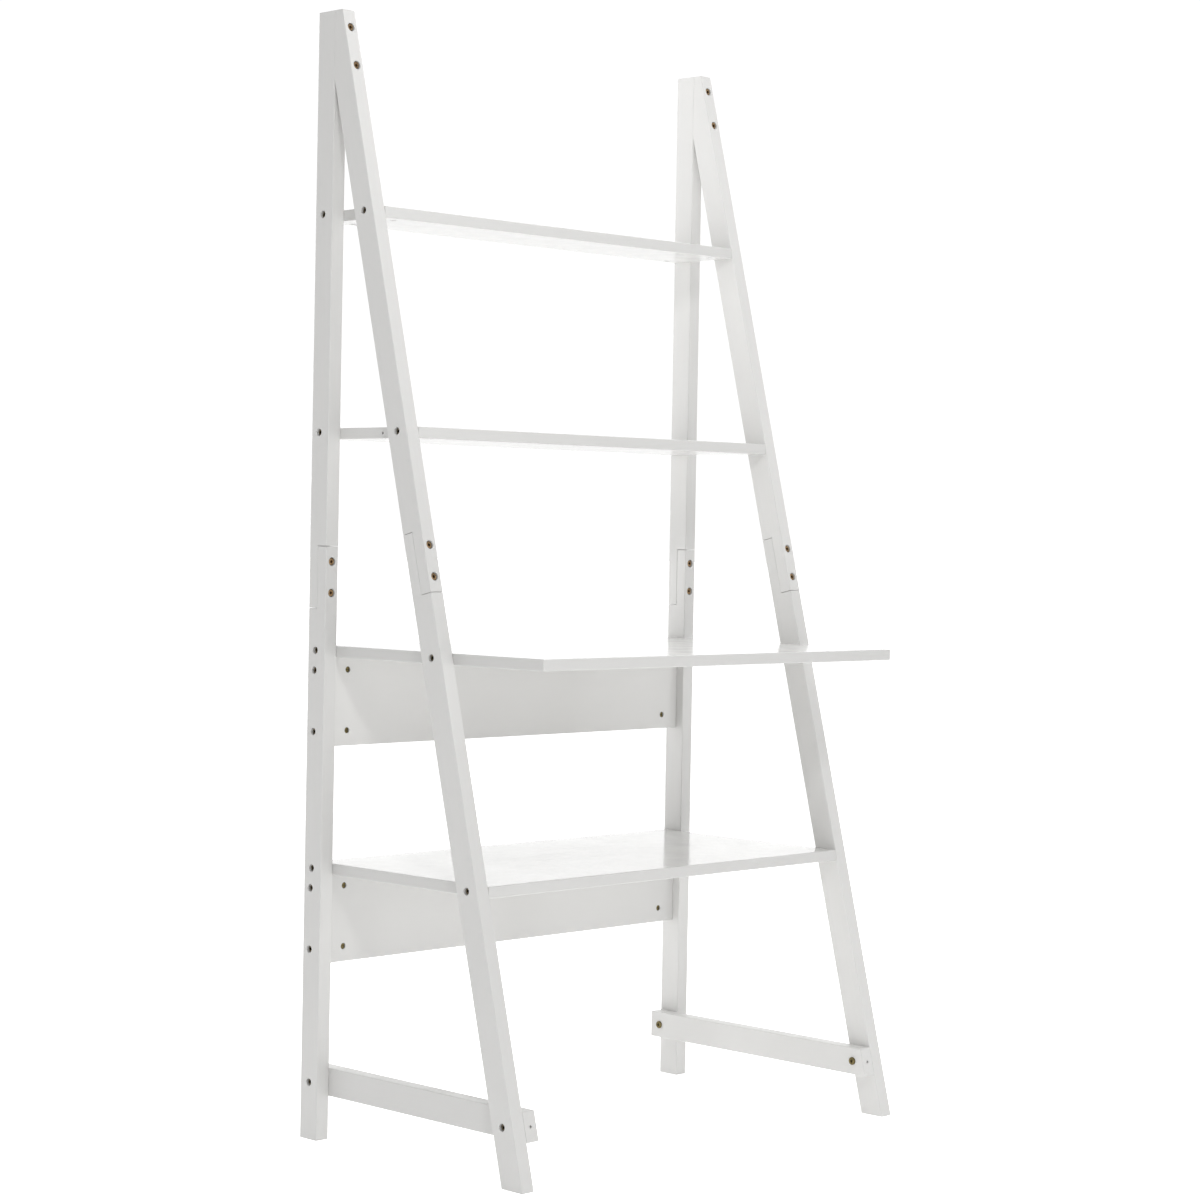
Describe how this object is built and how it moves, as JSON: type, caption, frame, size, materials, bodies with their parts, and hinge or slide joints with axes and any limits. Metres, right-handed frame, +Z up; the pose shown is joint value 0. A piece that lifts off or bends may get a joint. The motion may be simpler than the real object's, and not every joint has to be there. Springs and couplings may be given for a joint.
{
  "type": "ladder desk",
  "caption": "Free-standing ladder desk: two A-shaped side frames with vertical rear posts and sloping front posts carry a deep desk top and shallower shelves above and below it.",
  "frame": {"origin": "on the floor, at the centre of the footprint", "axes": "+X to the right, -Y towards the user at the front, +Z up"},
  "size_m": [0.864, 0.516, 1.8],
  "materials": {
    "painted_posts": "white satin paint on solid wood",
    "painted_boards": "white satin paint on board",
    "bolt_steel": "yellow zinc plated steel, dull",
    "nut_brass": "yellow zinc plated steel, dull"
  },
  "bodies": {
    "root": {"left_rear_upper_post": "painted_posts", "left_rear_lower_post": "painted_posts", "left_front_upper_post": "painted_posts", "left_front_lower_post": "painted_posts", "right_rear_upper_post": "painted_posts", "right_rear_lower_post": "painted_posts", "right_front_upper_post": "painted_posts", "right_front_lower_post": "painted_posts", "left_stretcher": "painted_posts", "right_stretcher": "painted_posts", "top_shelf": "painted_boards", "second_shelf": "painted_boards", "desk_top": "painted_boards", "lower_shelf": "painted_boards", "desk_apron": "painted_boards", "lower_apron": "painted_boards", "left_top_joint_bolts": "bolt_steel", "left_rear_lap_bolts": "bolt_steel", "left_front_lap_bolts": "bolt_steel", "left_stretcher_bolts": "bolt_steel", "right_top_joint_bolts": "bolt_steel", "right_rear_lap_bolts": "bolt_steel", "right_front_lap_bolts": "bolt_steel", "right_stretcher_bolts": "bolt_steel", "top_shelf_bolts": "bolt_steel", "second_shelf_bolts": "bolt_steel", "desk_top_bolts": "bolt_steel", "lower_shelf_bolts": "bolt_steel", "desk_apron_bolts": "bolt_steel", "lower_apron_bolts": "bolt_steel", "top_shelf_barrel_nuts": "nut_brass", "second_shelf_barrel_nuts": "nut_brass", "desk_top_barrel_nuts": "nut_brass", "lower_shelf_barrel_nuts": "nut_brass", "desk_apron_barrel_nuts": "nut_brass", "lower_apron_barrel_nuts": "nut_brass", "left_top_joint_inserts": "nut_brass", "left_rear_lap_inserts": "nut_brass", "left_front_lap_inserts": "nut_brass", "right_top_joint_inserts": "nut_brass", "right_rear_lap_inserts": "nut_brass", "right_front_lap_inserts": "nut_brass", "left_stretcher_sleeve_nuts": "bolt_steel", "right_stretcher_sleeve_nuts": "bolt_steel"}
  },
  "joints": []
}
